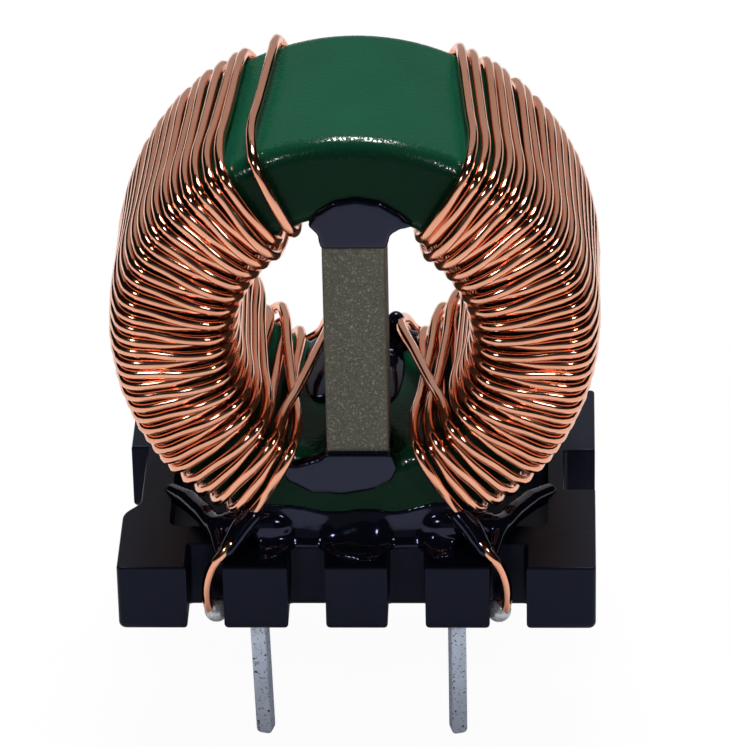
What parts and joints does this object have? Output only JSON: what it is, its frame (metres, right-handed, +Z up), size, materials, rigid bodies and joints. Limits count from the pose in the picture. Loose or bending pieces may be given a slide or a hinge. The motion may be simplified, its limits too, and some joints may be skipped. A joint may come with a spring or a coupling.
{
  "type": "common mode choke",
  "caption": "Toroidal common mode choke: coated ferrite ring with two copper windings, upright on a slotted black base with four pins.",
  "frame": {"origin": "centre of the pin pattern on the seating plane, under the base", "axes": "+Z up, away from the board; -Y towards the front pins; +X to the right seen from the front"},
  "size_m": [0.0246, 0.0174, 0.0336],
  "materials": {
    "ring_ferrite": "sintered, matt",
    "green_epoxy": "semi-gloss powder epoxy",
    "bar_ferrite": "ground, speckled",
    "enamelled_copper": "clear enamel over bright copper",
    "base_plastic": "moulded, satin",
    "tinned_pin": "tinned, dull",
    "solder": "bright solder",
    "black_epoxy": "glossy"
  },
  "bodies": {
    "root": {"ferrite_ring": "ring_ferrite", "core_coating": "green_epoxy", "ferrite_bar": "bar_ferrite", "left_winding": "enamelled_copper", "right_winding": "enamelled_copper", "base": "base_plastic", "front_left_pin": "tinned_pin", "front_right_pin": "tinned_pin", "rear_left_pin": "tinned_pin", "rear_right_pin": "tinned_pin", "front_left_solder": "solder", "front_right_solder": "solder", "rear_left_solder": "solder", "rear_right_solder": "solder", "upper_bar_glue": "black_epoxy", "lower_bar_glue": "black_epoxy", "front_cradle_glue": "black_epoxy", "rear_cradle_glue": "black_epoxy", "left_side_glue": "black_epoxy", "right_side_glue": "black_epoxy"}
  },
  "joints": []
}
